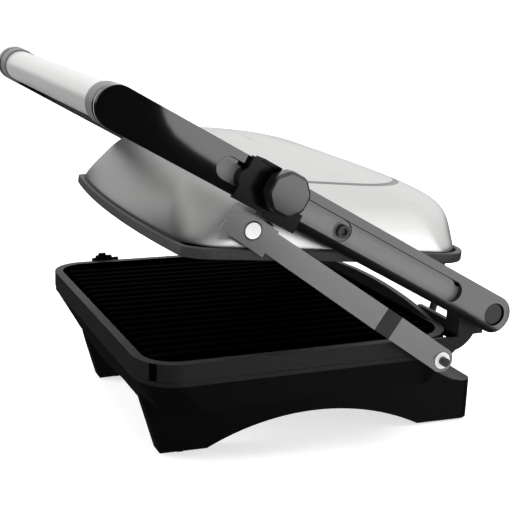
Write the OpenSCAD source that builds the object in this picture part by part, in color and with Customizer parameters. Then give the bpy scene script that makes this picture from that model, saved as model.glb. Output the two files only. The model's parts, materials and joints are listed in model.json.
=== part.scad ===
// Panini press: two hinged cast grill plates, a U-shaped lever handle, a levelling link and a
// sliding height lock. Front is -Y, up is +Z, and the origin is on the table under the middle
// of the lower plate. The lid is drawn partly raised, which is the rest pose of every joint.

/* [Grill plates] */
// Width of the lower plate over its rim
plate_w = 290; // [250:1:340]
// Depth of the lower plate over its rim
plate_d = 257; // [220:0.5:310]
// Plan radius of the front corners of the plate
front_corner_r = 31; // [18:1:40]
// Plan radius of the back corners of the plate
back_corner_r = 36; // [28:1:44]
// Height of the top of the lower rim above the table
rim_top_z = 91.5; // [85:0.5:100]
// Height of the outer rim band
rim_h = 13; // [10:0.1:16]
// Width of the flat rim
rim_wall = 7; // [4:0.1:9]
// Depth of the well floor below the rim
well_depth = 5.2; // [4:0.1:10]
// Spacing of the ridges
ridge_pitch = 13; // [10:0.5:16]
// Width of a ridge
ridge_w = 5; // [3:0.1:6.5]
// Height of a ridge
ridge_h = 4.2; // [2:0.1:4.5]
// Height of the splash wall over the rim at the middle of the back
splash_h = 9.5; // [4:0.5:12]

/* [Base] */
// Height of the trim ring under the lower plate
ring_h = 3.8; // [3:0.1:6]
// Height of the housing bowl
bowl_h = 22.4; // [18:0.1:26]
// How far the bowl draws in at its lower edge, each side
bowl_taper = 6; // [4:0.5:10]
// Wall of the moulded housing
housing_wall = 2.5; // [2:0.1:4]
// Width over the two side rails of the pedestal at their front
pedestal_front_w = 184.6; // [160:0.1:220]
// Width over the side rails at the heel
pedestal_back_w = 209; // [170:1:240]
// Thickness of a side rail
rail_t = 15; // [10:0.5:18]
// How far the pedestal reaches behind the plate, against tipping
heel_reach = 44; // [30:0.1:58]
// Height of the arch under each rail
arch_h = 23.2; // [12:0.1:26]
// Half the span of the arch
arch_half = 94; // [70:1:98]
// Radius of a rubber foot
foot_r = 5.5; // [4:0.1:6.5]
// Height that a rubber foot stands proud
foot_proud = 1.5; // [1:0.1:3]

/* [Arms and handle] */
// Angle of the arms above level as drawn
arm_rest = 28.4; // [20:0.1:36]
// Half the height of an arm
arm_r = 14.4; // [13:0.1:17]
// Thickness of an arm
arm_t = 10; // [9:0.5:16]
// Inner face of an arm from the middle of the press, past half the plate width
arm_gap = 6; // [6:0.1:12]
// Hinge axis to the handle axis
arm_len = 338.8; // [320:0.1:400]
// Hinge axis to the lid pivot
lid_pivot_at = 151; // [140:0.1:170]
// Radius of the handle tube
handle_r = 12.5; // [10:0.1:14]
// Length of each handle collar
collar_len = 18; // [12:0.5:30]
// Half the width of the stadium recess in the arm
slot_r = 8; // [7:0.1:9.5]
// Depth of that recess
slot_depth = 5; // [3:0.1:6]
// Hinge axis radius
axle_r = 5; // [4:0.1:6]
// Lid pivot shank radius
pivot_r = 3.5; // [3:0.1:4]

/* [Lid] */
// Angle of the lid above level as drawn
lid_rest = 4.8; // [2:0.1:8]
// Depth of the lid over its trim
lid_d = 247.5; // [210:0.5:270]
// Height of the lid pivot over the bottom of the trim
pivot_h = 24.8; // [22:0.1:32]
// Height of the lid trim
trim_h = 7.8; // [6:0.1:12]
// Height of the dome over the lid pivot
dome_h = 46.5; // [40:0.5:52]
// Thickness of the lid skin
skin = 1.6; // [1:0.1:2.5]

/* [Link and height lock] */
// Angle of the link above level as drawn
link_rest = 34.56; // [28:0.01:40]
// Base pin to lid pin
link_len = 192.8; // [185:0.1:215]
// Width of the link bar
link_w = 19; // [15:0.5:19.5]
// Width of its front end
link_front_w = 21.4; // [20:0.1:24]
// Thickness of the link bar
link_t = 3; // [2:0.1:3.4]
// Radius of the pin at each end of the link
link_pin_r = 3.4; // [3:0.1:4]
// Place of the height lock along the arm, from the hinge axis
lock_at = 222; // [205:1:230]
// Length of the height lock's body
lock_len = 48; // [36:1:50]
// Radius of the height lock knob
knob_r = 16.3; // [13:0.1:20]
// Depth of that knob
knob_t = 12; // [9:0.5:18]

/* [Clearances] */
// Gap between pieces of different bodies
gap = 0.4; // [0.3:0.05:0.6]
// Radial clearance of a shaft that turns in its bore
running = 0.05; // [0.02:0.01:0.1]

/* [Hidden] */
$fn = 48;
eps = 0.01;

// Travel of the arms from the drawn pose, and how the lid and the link follow them.
closed_gap = 0.5;
travel_up = 32;
link_ratio = 0.89;

// Heights of the base.
ring_top = rim_top_z - rim_h - 0.3;
ring_bottom = ring_top - ring_h;
bowl_bottom = ring_bottom - bowl_h;
plate_floor = rim_top_z - rim_h;
ridge_n = 2 * floor((plate_w / 2 - back_corner_r + 8) / ridge_pitch) + 1;

// Pivots in the side view, as [y, z]: hinge, lid pivot, link's base pin and link's lid pin.
hinge = [plate_d / 2 + 16.6, rim_top_z + 19.5];
pin_base = [plate_d / 2 - 23.2, rim_top_z - 15.3];
// Closed, the lid is level and its trim stands closed_gap over the lower rim.
arm_closed = asin((rim_top_z + closed_gap + pivot_h - hinge[1]) / lid_pivot_at);
travel_down = arm_rest - arm_closed;
lid_ratio = lid_rest / travel_down;
function ahead(a) = [-cos(a), sin(a)];
function above(a) = [sin(a), cos(a)];
lid_pivot = hinge + lid_pivot_at * ahead(arm_rest);
pin_lid = pin_base + link_len * ahead(link_rest);

// Where the lid pin stands in the lid's own frame when the arms have turned by t degrees.
function pin_from_pivot(t) = pin_base + link_len * ahead(link_rest + link_ratio * t)
    - hinge - lid_pivot_at * ahead(arm_rest + t);
function pin_ahead(t) = pin_from_pivot(t) * ahead(lid_rest + lid_ratio * t);
function pin_above(t) = pin_from_pivot(t) * above(lid_rest + lid_ratio * t);
slot_front = pin_ahead(-travel_down);
slot_back = pin_ahead(travel_up);
slot_up = (pin_above(-travel_down) + pin_above(0) + pin_above(travel_up)) / 3;

// Planes across the press, from its middle outwards.
plate_half = plate_w / 2;
trim_half = plate_half + 1.6;
shell_half = trim_half - 2.6;
bracket_in = plate_half + 0.3;
bracket_t = 2.6;
link_in = trim_half + 0.4;
link_out_in = link_in + 4.5;
arm_in = plate_half + arm_gap;
arm_out = arm_in + arm_t;
tower_t = 18;
tower_in = bracket_in + bracket_t - tower_t;

module in_arm() {
    translate([0, hinge[0], hinge[1]]) rotate([-arm_rest, 0, 0]) children();
}
module in_lid() {
    translate([0, lid_pivot[0], lid_pivot[1]]) rotate([-lid_rest, 0, 0]) children();
}
module in_link() {
    translate([0, pin_base[0], pin_base[1]]) rotate([-link_rest, 0, 0]) children();
}
// A round bar across the press, from x0 to x1.
module across(x0, x1, r) {
    translate([x0, 0, 0]) rotate([0, 90, 0]) cylinder(h = x1 - x0, r = r);
}
// A flat piece drawn in the side view as [y, z], from x0 to x1.
module side_plate(x0, x1) {
    translate([x0, 0, 0]) rotate([90, 0, 90]) linear_extrude(x1 - x0) children();
}
module both_sides() {
    children();
    mirror([1, 0, 0]) children();
}
module rounded_rect(w, d, r) {
    square([w - 2 * r, d], center = true);
    square([w, d - 2 * r], center = true);
    for (sx = [-1, 1], sy = [-1, 1]) translate([sx * (w / 2 - r), sy * (d / 2 - r)]) circle(r);
}
// A rounded rectangle w wide from y0 at the front to y1, with its own front and back corner radius.
module plan(w, y0, y1, rf, rb) {
    polygon([[-w / 2, y0 + rf], [rf - w / 2, y0], [w / 2 - rf, y0], [w / 2, y0 + rf],
        [w / 2, y1 - rb], [w / 2 - rb, y1], [rb - w / 2, y1], [-w / 2, y1 - rb]]);
    for (sx = [-1, 1]) {
        translate([sx * (w / 2 - rf), y0 + rf]) circle(rf);
        translate([sx * (w / 2 - rb), y1 - rb]) circle(rb);
    }
}
// The lower plate's outline inset by s.
module plate_plan(s) {
    plan(plate_w - 2 * s, s - plate_d / 2, plate_d / 2 - s, front_corner_r - s, back_corner_r - s);
}
// A rounded rectangle as a slab from z0 to z1.
module slab(w, d, r, z0, z1, y = 0) {
    translate([0, y, z0]) linear_extrude(z1 - z0) rounded_rect(w, d, r);
}
// A tube with rings of n points swept along a route of points, closed at both ends.
module swept(route, r, n) {
    last = len(route) - 1;
    function dir(i) = let (v = route[min(i + 1, last)] - route[max(i - 1, 0)]) v / norm(v);
    function side(i) = let (d = dir(i), s = cross(d, [0.3, 0.1, 1])) s / norm(s);
    points = [for (i = [0:last], k = [0:n - 1])
        route[i] + r * (cos(360 * k / n) * side(i) + sin(360 * k / n) * cross(dir(i), side(i)))];
    walls = [for (i = [0:last - 1], k = [0:n - 1])
        [i * n + k, i * n + (k + 1) % n, (i + 1) * n + (k + 1) % n, (i + 1) * n + k]];
    caps = [[for (k = [0:n - 1]) n - 1 - k], [for (k = [0:n - 1]) last * n + k]];
    polyhedron(points, concat([for (w = walls) [w[3], w[2], w[1], w[0]]],
        [for (c = caps) [for (k = [0:n - 1]) c[n - 1 - k]]]));
}

// ---------------------------------------------------------------- base

heel_y = plate_d / 2 + heel_reach;
toe_y = -plate_d / 2 + 30.3;
toe_lean = 15.8;
heel_lean = 3.5;
arch_y = (heel_y + toe_y) / 2 - 6.8;
arch_big_r = (arch_half * arch_half + arch_h * arch_h) / (2 * arch_h);
heel_top = bowl_bottom - 17.3;
deck_t = 8;
heel_wall = 5;
rail_corner = 11;
screw_x = pedestal_front_w / 2 - rail_t - 14;
screw_y = [-plate_d / 2 + 58, plate_d / 2 - 38];
foot_y = [toe_y + 17, heel_y - 28];
// Middle of a side rail at y: the rails splay towards the heel.
function rail_half(y) = pedestal_front_w / 2
    + (pedestal_back_w - pedestal_front_w) / 2 * (y - toe_y) / (heel_y - toe_y);
function foot_x(y) = rail_half(y) - rail_t / 2;

// The line of the rear block's top, from the bowl down to the heel, lowered by s.
function heel_line(s) = [[plate_d / 2 + 2, bowl_bottom - s], [plate_d / 2 + 6.5, bowl_bottom - 4.8 - s],
    [plate_d / 2 + 11.6, bowl_bottom - 9.3 - s], [plate_d / 2 + 22.8, bowl_bottom - 14.6 - s],
    [plate_d / 2 + 33.3, bowl_bottom - 16.9 - s]];
module pedestal_profile() {
    difference() {
        polygon(concat([[toe_y, foot_proud], [toe_y - toe_lean, bowl_bottom]], heel_line(0),
            [[heel_y, heel_top], [heel_y - heel_lean, foot_proud]]));
        translate([arch_y, arch_h - arch_big_r]) circle(arch_big_r, $fn = 96);
    }
}
// The pedestal's outline in plan, or that of the space between its rails with s the rail's width.
module pedestal_plan(s) {
    y0 = toe_y - toe_lean - s;
    w0 = rail_half(y0) - s;
    w1 = rail_half(heel_y) - s;
    r = rail_corner;
    polygon([[-w0, y0 + r], [r - w0, y0], [w0 - r, y0], [w0, y0 + r],
        [w1, heel_y - r], [w1 - r, heel_y], [r - w1, heel_y], [-w1, heel_y - r]]);
    for (sx = [-1, 1]) {
        translate([sx * (w0 - r), y0 + r]) circle(r);
        translate([sx * (w1 - r), heel_y - r]) circle(r);
    }
}
module pedestal() {
    color("#131313") difference() {
        intersection() {
            side_plate(-pedestal_back_w / 2, pedestal_back_w / 2) pedestal_profile();
            linear_extrude(rim_top_z) pedestal_plan(0);
        }
        intersection() {
            side_plate(-pedestal_back_w / 2, pedestal_back_w / 2) polygon(concat(
                [[toe_y - 2 * toe_lean, -1], [toe_y - 2 * toe_lean, bowl_bottom - deck_t]],
                heel_line(deck_t),
                [[heel_y - heel_wall - heel_lean, heel_top - deck_t], [heel_y - heel_wall - heel_lean, -1]]));
            translate([0, 0, -1]) linear_extrude(rim_top_z) pedestal_plan(rail_t);
        }
        translate([-foot_x(heel_y) + rail_t / 2 + rail_corner, heel_y - 3 * heel_wall, -1])
            cube([2 * foot_x(heel_y) - rail_t - 2 * rail_corner, 4 * heel_wall, 7]);
        for (sx = [-1, 1], y = screw_y)
            translate([sx * screw_x, y, 0]) cylinder(h = rim_top_z, r = 2);
        for (sx = [-1, 1], y = foot_y)
            translate([sx * foot_x(y), y, -1]) cylinder(h = foot_proud + 3, r = foot_r);
    }
}
module rubber_feet() {
    color("#1c1c1c") for (sx = [-1, 1], y = foot_y)
        translate([sx * foot_x(y), y, 0]) cylinder(h = foot_proud + 2, r = foot_r - 0.05);
}
module pedestal_screws() {
    color("silver") for (sx = [-1, 1], y = screw_y) translate([sx * screw_x, y, 0]) {
        translate([0, 0, bowl_bottom - deck_t - 2.4]) cylinder(h = 2.4, r = 3.6);
        translate([0, 0, bowl_bottom - deck_t - 1]) cylinder(h = deck_t + 8, r = 1.9);
    }
}

bowl_front = 1.5 * bowl_taper - plate_d / 2;
bowl_rear = plate_d / 2 - 0.75 * bowl_taper;
bowl_bow_r = 900;
post_x = plate_w / 2 - 45;
post_y = plate_d / 2 - 45;
floor_top = bowl_bottom + housing_wall;
inlet_x = -40;
inlet_z = bowl_bottom + 12;
feed_x = 60;
feed_z = bowl_bottom + 13;
gland_hole_r = 6.5;

// The bowl inset all round: it draws in downwards, and its lower front edge is bowed.
module bowl(inset) {
    hull() {
        translate([0, 0, bowl_bottom + inset]) linear_extrude(eps) intersection() {
            plan(plate_w - 2 * bowl_taper - 1 - 2 * inset, bowl_front + inset, bowl_rear - inset,
                front_corner_r + 10 - inset, back_corner_r - 6 - inset);
            translate([0, bowl_front + inset + bowl_bow_r]) circle(bowl_bow_r, $fn = 360);
        }
        translate([0, 0, ring_bottom - eps]) linear_extrude(eps) plate_plan(1 + inset);
        if (inset > 0) translate([0, 0, ring_bottom]) linear_extrude(1) plate_plan(1 + inset);
    }
}
module lower_housing() {
    color("#161616") difference() {
        union() {
            difference() {
                bowl(0);
                bowl(housing_wall);
            }
            for (sx = [-1, 1], sy = [-1, 1])
                translate([sx * post_x, sy * post_y, bowl_bottom + 1])
                    cylinder(h = reflector_z - bowl_bottom - 1.3, r = 4);
            for (sx = [-1, 1], y = screw_y)
                translate([sx * screw_x, y, bowl_bottom + 1]) cylinder(h = 11, r = 4.5);
        }
        for (sx = [-1, 1], y = screw_y)
            translate([sx * screw_x, y, bowl_bottom - 1]) cylinder(h = 10, r = 2);
        translate([inlet_x, plate_d / 2 - 12, inlet_z]) rotate([-90, 0, 0])
            cylinder(h = 20, r = gland_hole_r);
        translate([feed_x, plate_d / 2 - 12, feed_z]) rotate([-90, 0, 0])
            cylinder(h = 20, r = gland_hole_r);
        for (sx = [-1, 1], x = flange_screws) translate([sx * x, plate_d / 2 - 12, flange_screw_z])
            rotate([-90, 0, 0]) cylinder(h = 20, r = 2);
    }
}
module lower_trim_ring() {
    color("#3a3a3a") translate([0, 0, ring_bottom]) difference() {
        linear_extrude(ring_h) plate_plan(0.5);
        translate([0, 0, -1]) linear_extrude(ring_h + 2) plate_plan(5.5);
    }
}

// One ridge: a bar with sloping ends, its top at z1, length along Y.
module ridge(length, z0, z1) {
    side_plate(-ridge_w / 2, ridge_w / 2) polygon([[-length / 2 - ridge_h, z0],
        [-length / 2, z1], [length / 2, z1], [length / 2 + ridge_h, z0]]);
}
splash_t = 5;
module lower_plate() {
    well_z = rim_top_z - well_depth;
    ridge_len = plate_d - 2 * (rim_wall + 2.5 + ridge_h);
    splash_half = plate_w / 2 - back_corner_r;
    splash_r = (splash_half * splash_half + splash_h * splash_h) / (2 * splash_h);
    color("#2b2b2b") {
        difference() {
            translate([0, 0, plate_floor]) linear_extrude(rim_h) plate_plan(0);
            translate([0, 0, well_z]) linear_extrude(well_depth + 1) plate_plan(rim_wall);
        }
        for (i = [0:ridge_n - 1])
            translate([(i - (ridge_n - 1) / 2) * ridge_pitch, 0, 0])
                ridge(ridge_len, well_z - 1, well_z + ridge_h);
        intersection() {
            translate([0, plate_d / 2, rim_top_z + splash_h - splash_r]) rotate([90, 0, 0])
                cylinder(h = splash_t, r = splash_r, $fn = 180);
            translate([1 - splash_half, 0, rim_top_z - 2])
                cube([2 * splash_half - 2, plate_d, splash_h + 4]);
        }
    }
}

element_r = 3.3;
element_half = plate_w / 2 - 62;
element_len = plate_d - 110;
// A sheathed heating element: two runs and a cross run, with a cold tail behind each run.
module u_element() {
    run = element_half;
    for (sx = [-1, 1]) translate([sx * run, 0, 0]) {
        translate([0, -element_len / 2, 0]) rotate([-90, 0, 0])
            cylinder(h = element_len, r = element_r);
        translate([0, element_len / 2 - 1, 0]) rotate([-90, 0, 0]) cylinder(h = 13, r = 1.6);
        translate([0, -element_len / 2, 0]) sphere(element_r);
    }
    translate([0, -element_len / 2, 0]) across(-run, run, element_r);
}
reflector_z = plate_floor - 13;
module lower_element() {
    color("dimgray") translate([0, 0, plate_floor - element_r - 0.2]) u_element();
}
module lower_reflector() {
    pan_w = plate_w - 30;
    pan_d = plate_d - 30;
    color("lightgray") difference() {
        slab(pan_w, pan_d, 30, reflector_z, reflector_z + 5);
        slab(pan_w - 2, pan_d - 2, 29, reflector_z + 1, reflector_z + 6);
        for (sx = [-1, 1]) translate([sx * 30, 30, reflector_z - 1]) cylinder(h = 3, r = 12);
    }
}
// A disc thermostat with two blade tabs that point away from its sensing face at z = 0.
module disc_thermostat() {
    mirror([0, 0, 1]) {
        cylinder(h = 3, r = 10);
        translate([0, 0, 2.9]) cylinder(h = 5, r = 8);
        for (sx = [-1, 1]) translate([sx * 4 - 0.4, -3, 7.8]) cube([0.8, 6, 7]);
    }
}
module lower_thermostat() {
    color("tan") translate([30, 30, plate_floor - 0.3]) disc_thermostat();
}
module thermal_cutout() {
    color("gainsboro") translate([-30, 30, plate_floor - 0.3]) mirror([0, 0, 1]) {
        cylinder(h = 3, r = 6);
        translate([0, 0, 2.9]) cylinder(h = 5, r = 4.5);
    }
}
module terminal_block() {
    color("ivory") translate([inlet_x, plate_d / 2 - 60, floor_top]) difference() {
        translate([-17, -9, 0]) cube([34, 18, 9]);
        for (i = [-1, 0, 1]) translate([i * 10, -10, 4.5]) rotate([-90, 0, 0]) cylinder(h = 20, r = 2.2);
        for (i = [-1, 0, 1]) translate([i * 10, 0, 6]) cylinder(h = 4, r = 2);
    }
}
// A flanged strain relief along +Y with its flange on the wall at y = 0.
module gland(bore_r) {
    rotate([-90, 0, 0]) difference() {
        union() {
            translate([0, 0, -7]) cylinder(h = 7 + eps, r = gland_hole_r - 0.1);
            cylinder(h = 3, r = gland_hole_r + 2.5);
            translate([0, 0, 3 - eps]) cylinder(h = 9, r1 = gland_hole_r, r2 = bore_r + 1.6);
        }
        translate([0, 0, -8]) cylinder(h = 22, r = bore_r);
    }
}
// Distance of the bowl's back wall from the middle at height z.
function bowl_back(z) = plate_d / 2 - 1 - (plate_d / 2 - 1 - bowl_rear) * (ring_bottom - z) / bowl_h;
cord_r = 3.8;
feed_r = 3.2;
module cord_gland() {
    color("#1a1a1a") translate([inlet_x, bowl_back(inlet_z) + 1.6, inlet_z]) gland(cord_r);
}
module lower_cable_gland() {
    color("#1a1a1a") translate([feed_x, bowl_back(feed_z) + 1.6, feed_z]) gland(feed_r + 0.1);
}

// ---------------------------------------------------------------- hinge brackets

tower_front = plate_d / 2 - 5.7;
tower_low = rim_top_z + 0.6;
tower_top = hinge[1] + 8;
lobe = [plate_d / 2 - 13.5, rim_top_z + 13];
lobe_r = 25;
flange_y = plate_d / 2 + 0.4;
flange_t = 4;
flange_half = 11;
flange_mid = plate_w / 2 - 56;
flange_screws = [flange_mid - 6, flange_mid + 6];
flange_screw_z = ring_bottom - 7;

module tower_profile() {
    intersection() {
        union() {
            translate(lobe) circle(lobe_r);
            translate([tower_front, tower_low]) square([hinge[0] - tower_front, tower_top - tower_low]);
        }
        translate([tower_front, tower_low]) square([60, tower_top - tower_low]);
    }
    translate(hinge) circle(arm_r - 2);
}
module bracket_cheek_profile() {
    tower_profile();
    intersection() {
        translate(lobe) circle(lobe_r);
        translate([lobe[0] - lobe_r, pin_base[1]]) square([2 * lobe_r, rim_top_z - 0.3 - pin_base[1]]);
    }
    intersection() {
        translate(lobe) circle(lobe_r);
        translate([tower_front, pin_base[1]]) square([60, tower_low + 1 - pin_base[1]]);
    }
    translate(pin_base) circle(9);
    polygon([pin_base + [-8.8, 1], pin_base + [-2, 14], pin_base + [22, 10], pin_base + [8, -4]]);
}
module hinge_bracket() {
    difference() {
        union() {
            side_plate(tower_in, bracket_in + bracket_t) tower_profile();
            side_plate(bracket_in, bracket_in + bracket_t) bracket_cheek_profile();
            translate([flange_mid - flange_half, flange_y, rim_top_z - 9])
                cube([tower_in + 8 - flange_mid + flange_half, flange_t, 14]);
            translate([flange_mid - flange_half, flange_y, ring_bottom - 14])
                cube([2 * flange_half, flange_t, rim_top_z - ring_bottom + 19]);
            difference() {
                translate([flange_mid - flange_half, flange_y - 8, ring_bottom - 14])
                    cube([2 * flange_half, 8 + eps, 13]);
                bowl(-gap);
            }
        }
        translate([0, hinge[0], hinge[1]]) across(0, plate_w, axle_r + 0.02);
        translate([0, pin_base[0], pin_base[1]]) across(0, plate_w, link_pin_r + 0.02);
        for (x = flange_screws) translate([x, plate_d / 2 - 12, flange_screw_z])
            rotate([-90, 0, 0]) cylinder(h = 30, r = 2);
    }
}
module hinge_bracket_right() {
    color("#3c3c3c") hinge_bracket();
}
module hinge_bracket_left() {
    color("#3c3c3c") mirror([1, 0, 0]) hinge_bracket();
}
module bracket_screws() {
    color("silver") both_sides() for (x = flange_screws) translate([x, 0, flange_screw_z])
        rotate([-90, 0, 0]) {
            translate([0, 0, flange_y + flange_t]) cylinder(h = 2.2, r = 3.4);
            translate([0, 0, flange_y - 10]) cylinder(h = flange_t + 11, r = 1.9);
        }
}
axle_head_r = 8.2;
axle_recess_r = 8.8;
axle_seat = arm_out - arm_t / 2;
module hinge_axles() {
    color("#202020") both_sides() translate([0, hinge[0], hinge[1]]) {
        across(tower_in + 1, axle_seat + 1, axle_r);
        across(axle_seat + gap, arm_out - 1.6, axle_head_r);
    }
}
module hinge_bushes() {
    color("#0e0e0e") both_sides() translate([0, hinge[0], hinge[1]]) difference() {
        across(bracket_in + bracket_t, arm_in - gap, 9);
        across(0, plate_w, axle_r + 0.02);
    }
}
clip_x = link_out_in + link_t + 0.3;
pin_tip = 6;
module link_base_pin() {
    color("#2a2a2a") translate([0, pin_base[0], pin_base[1]]) difference() {
        across(bracket_in, clip_x + pin_tip, link_pin_r);
        difference() {
            across(clip_x, clip_x + 1, link_pin_r + 1);
            across(clip_x - 1, clip_x + 2, link_pin_r - 0.8);
        }
    }
}
module link_spacer() {
    color("#1a1a1a") translate([0, pin_base[0], pin_base[1]]) difference() {
        across(bracket_in + bracket_t, link_out_in - 0.3, 7);
        across(0, plate_w, link_pin_r + 0.02);
    }
}
clip_r = 6.5;
module retaining_clip() {
    color("silver") translate([0, pin_base[0], pin_base[1]]) rotate([-20, 0, 0])
        difference() {
            across(clip_x + 0.1, clip_x + 0.9, clip_r);
            across(clip_x - 1, clip_x + 2, link_pin_r - 0.7);
            translate([clip_x - 1, 0, -1.9]) cube([3, 10, 3.8]);
        }
}

// ---------------------------------------------------------------- plate release latch

latch_y = -plate_d / 2 + 55.2;
latch_x = plate_w / 2 + 2.6;
latch_t = 4;
latch_stroke = 4;
guide_z = bowl_bottom + 3;
module latch_guide() {
    color("#161616") translate([-latch_x, latch_y, guide_z]) difference() {
        translate([-latch_t - 3, -16, 0]) cube([latch_t + 5.4, 32, 22]);
        translate([-latch_t - gap, -13, 6]) cube([latch_t + 2 * gap, 26, 30]);
        translate([-latch_t / 2, 0, 1.5]) cylinder(h = 30, r = 2.6);
        translate([latch_x, -latch_y, -guide_z]) bowl(0);
    }
}
module release_latch() {
    base_z = guide_z + 6 + latch_stroke + gap;
    color("#0c0c0c") translate([-latch_x - latch_t, latch_y, 0]) {
        translate([0, -12.5, base_z]) cube([latch_t, 25, rim_top_z + 1.5 - base_z]);
        translate([0, -9, rim_top_z]) cube([latch_t, 15, 3.8]);
        translate([0, -6.3, rim_top_z]) cube([latch_t, 6.7, 6]);
        translate([-4, -9, rim_top_z - 4]) cube([4 + eps, 18, 4]);
    }
}
module latch_spring() {
    turns = 6;
    z0 = guide_z + 1.9;
    z1 = guide_z + 6 + latch_stroke + gap - 0.8;
    route = [for (i = [0:turns * 10]) [-latch_x - latch_t / 2 + 1.7 * cos(36 * i),
        latch_y + 1.7 * sin(36 * i), z0 + (z1 - z0) * i / (turns * 10)]];
    color("silver") swept(route, 0.35, 6);
}

// ---------------------------------------------------------------- arms and handle

slot_from = 45;
slot_to = arm_len - 85;
pivot_recess_r = 7.6;
pivot_seat = arm_out - slot_depth - 1.2;
rod_depth = arm_t - 3;
rod_r = 4;
module arm_profile() {
    translate([0, 0]) circle(arm_r);
    translate([-arm_len, 0]) circle(arm_r);
    translate([-arm_len, -arm_r]) square([arm_len, 2 * arm_r]);
}
module arm() {
    difference() {
        side_plate(arm_in, arm_out) arm_profile();
        side_plate(arm_out - slot_depth, arm_out + 1) {
            translate([-slot_from, 0]) circle(slot_r);
            translate([-slot_to, 0]) circle(slot_r);
            translate([-slot_to, -slot_r]) square([slot_to - slot_from, 2 * slot_r]);
        }
        across(0, plate_w, axle_r + running);
        across(axle_seat, plate_w, axle_recess_r);
        translate([0, -lid_pivot_at, 0]) across(0, plate_w, pivot_r + running);
        translate([0, -lid_pivot_at, 0]) across(pivot_seat, plate_w, pivot_recess_r);
        translate([0, -arm_len, 0]) across(arm_in - 1, arm_in + rod_depth, rod_r + 0.02);
    }
}
module arm_right() {
    color("#080808") in_arm() arm();
}
module arm_left() {
    color("#080808") in_arm() mirror([1, 0, 0]) arm();
}
module handle_tube() {
    color("gainsboro") in_arm() translate([0, -arm_len, 0]) difference() {
        across(-arm_in + collar_len, arm_in - collar_len, handle_r);
        across(-arm_in, arm_in, handle_r - 1.5);
    }
}
module handle_collars() {
    color("darkgray") in_arm() both_sides() translate([0, -arm_len, 0]) difference() {
        union() {
            across(arm_in - collar_len, arm_in, arm_r - 0.2);
            across(arm_in - collar_len - 8, arm_in - collar_len + 1, handle_r - 1.5);
        }
        across(0, arm_in + 1, rod_r + 0.02);
    }
}
module handle_rod() {
    color("silver") in_arm() translate([0, -arm_len, 0]) across(1 - arm_in - rod_depth, arm_in + rod_depth - 1, rod_r);
}
module handle_nuts() {
    color("silver") in_arm() both_sides() translate([0, -arm_len, 0]) difference() {
        translate([arm_in - collar_len - 13, 0, 0]) rotate([0, 90, 0]) cylinder(h = 5, r = 7.5, $fn = 6);
        across(0, arm_in, rod_r + 0.02);
    }
}

// ---------------------------------------------------------------- lid

trim_low = -pivot_h;
trim_top = trim_low + trim_h;
lid_front = -lid_d * 0.495;
lid_mid = lid_front + lid_d / 2;
lid_corner = 31;
bow_r = 1000;

// The lid outline inset by s: a rounded rectangle whose front edge is bowed forward.
module lid_outline(s) {
    intersection() {
        translate([0, lid_mid]) rounded_rect(2 * (trim_half - s), lid_d - 2 * s, lid_corner - s);
        translate([0, lid_front + s + bow_r]) circle(bow_r, $fn = 360);
    }
}
module lid_trim() {
    color("#464646") in_lid() difference() {
        translate([0, 0, trim_low]) linear_extrude(trim_h) lid_outline(0);
        translate([0, 0, trim_low - 1]) linear_extrude(trim_h + 2) lid_outline(5);
    }
}
// Levels of the dome: height over the pivot, half its width, its front, its back, and the radius
// of its front and of its back corners.
dome_levels = [
    [-4, shell_half - 1.5, lid_front + 9.5, lid_front + lid_d - 8.3, 47, 36],
    [8, shell_half - 4.5, lid_front + 17.5, lid_front + lid_d - 8.8, 54, 42],
    [0.41 * dome_h, shell_half - 9, lid_front + 26, lid_front + lid_d - 19.5, 58, 50],
    [0.62 * dome_h, shell_half - 19, lid_front + 34, lid_front + lid_d - 44, 58, 54],
    [0.8 * dome_h, shell_half - 44, lid_front + 50, lid_front + lid_d - 74, 52, 52],
    [0.91 * dome_h, shell_half - 84, lid_front + 64, lid_front + lid_d - 100, 40, 40],
    [dome_h, shell_half - 126, lid_front + 84, lid_front + lid_d - 133, 14, 14]];
// How much further the shell stands in from the trim at the back than at the sides.
shell_back_step = 5.5;
module dome_level(level, s) {
    translate([0, 0, level[0] - s]) linear_extrude(eps)
        plan(2 * (level[1] - s), level[2] + s, level[3] - s, level[4] - s, level[5] - s);
}
module dome(s) {
    hull() {
        translate([0, 0, trim_top]) linear_extrude(eps) intersection() {
            lid_outline(2.6 + s);
            translate([0, -shell_back_step]) lid_outline(2.6 + s);
        }
        for (level = dome_levels) dome_level(level, s);
    }
}
module lid_shell() {
    color("gainsboro") in_lid() difference() {
        dome(0);
        difference() {
            dome(skin);
            translate([-plate_w, -plate_d, trim_top - 2]) cube([2 * plate_w, 2 * plate_d, 2 - eps]);
        }
        across(-plate_w, plate_w, pivot_r + 0.2);
        pin_slot(shell_half - 20, plate_w);
        translate([feed_x, 0, upper_feed_z]) rotate([-90, 0, 0]) cylinder(h = plate_d, r = gland_hole_r);
    }
}
// The slot in which the link's lid pin runs, with room for the pin's small rise and fall.
slot_play = 0.8;
module pin_slot(x0, x1) {
    slot_half = lid_pin_r + gap + slot_play;
    side_plate(x0, x1) {
        translate([-slot_front, slot_up]) circle(slot_half);
        translate([-slot_back, slot_up]) circle(slot_half);
        translate([-slot_front, slot_up - slot_half])
            square([slot_front - slot_back, 2 * slot_half]);
    }
}
upper_floor = trim_low + 6.6;
upper_ridge_lift = 0.5;
module upper_plate() {
    plate_z = trim_low + 3.2;
    color("#1d1d1d") in_lid() {
        translate([0, 0, plate_z]) linear_extrude(upper_floor - plate_z) lid_outline(5.3);
        for (i = [0:ridge_n - 1]) translate([(i - (ridge_n - 1) / 2) * ridge_pitch, lid_mid, 0])
            mirror([0, 0, 1]) ridge(lid_d - 54, -plate_z - 1, -trim_low - upper_ridge_lift);
    }
}
module upper_element() {
    color("dimgray") in_lid() translate([0, lid_mid, upper_floor + element_r + 0.2])
        scale((lid_d - 30) / plate_d) u_element();
}
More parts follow.
